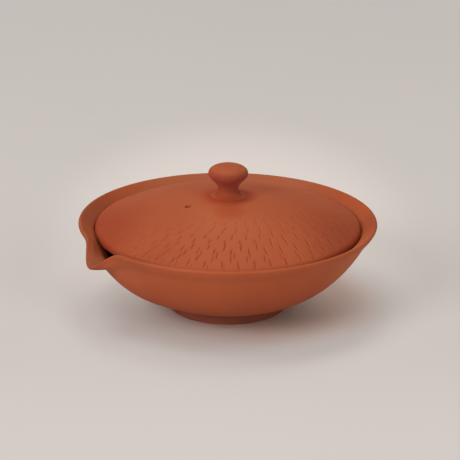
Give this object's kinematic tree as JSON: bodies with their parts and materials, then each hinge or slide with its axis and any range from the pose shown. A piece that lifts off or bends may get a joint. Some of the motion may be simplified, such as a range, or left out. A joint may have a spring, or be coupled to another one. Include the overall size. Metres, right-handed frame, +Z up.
{
  "type": "shiboridashi",
  "caption": "Shallow handleless clay teapot: a flared bowl on a foot ring with a spout pulled from its rim, and a loose domed lid with a funnel-shaped knob.",
  "frame": {"origin": "middle of the foot ring's resting face", "axes": "+Z up along the turning axis, -X towards the spout, -Y the side on the left hand of someone who pours towards -X"},
  "size_m": [0.1284, 0.124, 0.0612],
  "materials": {
    "red_clay": "unglazed, smoothed and fired matt red clay"
  },
  "bodies": {
    "pot_body": {"bowl": "red_clay", "foot_ring": "red_clay"},
    "lid_body": {"lid": "red_clay", "knob": "red_clay"}
  },
  "joints": [
    {"name": "lid_lift", "type": "slide", "parent": "pot_body", "child": "lid_body", "axis": [0, 0, 1], "range_m": [0, 0.06]}
  ]
}
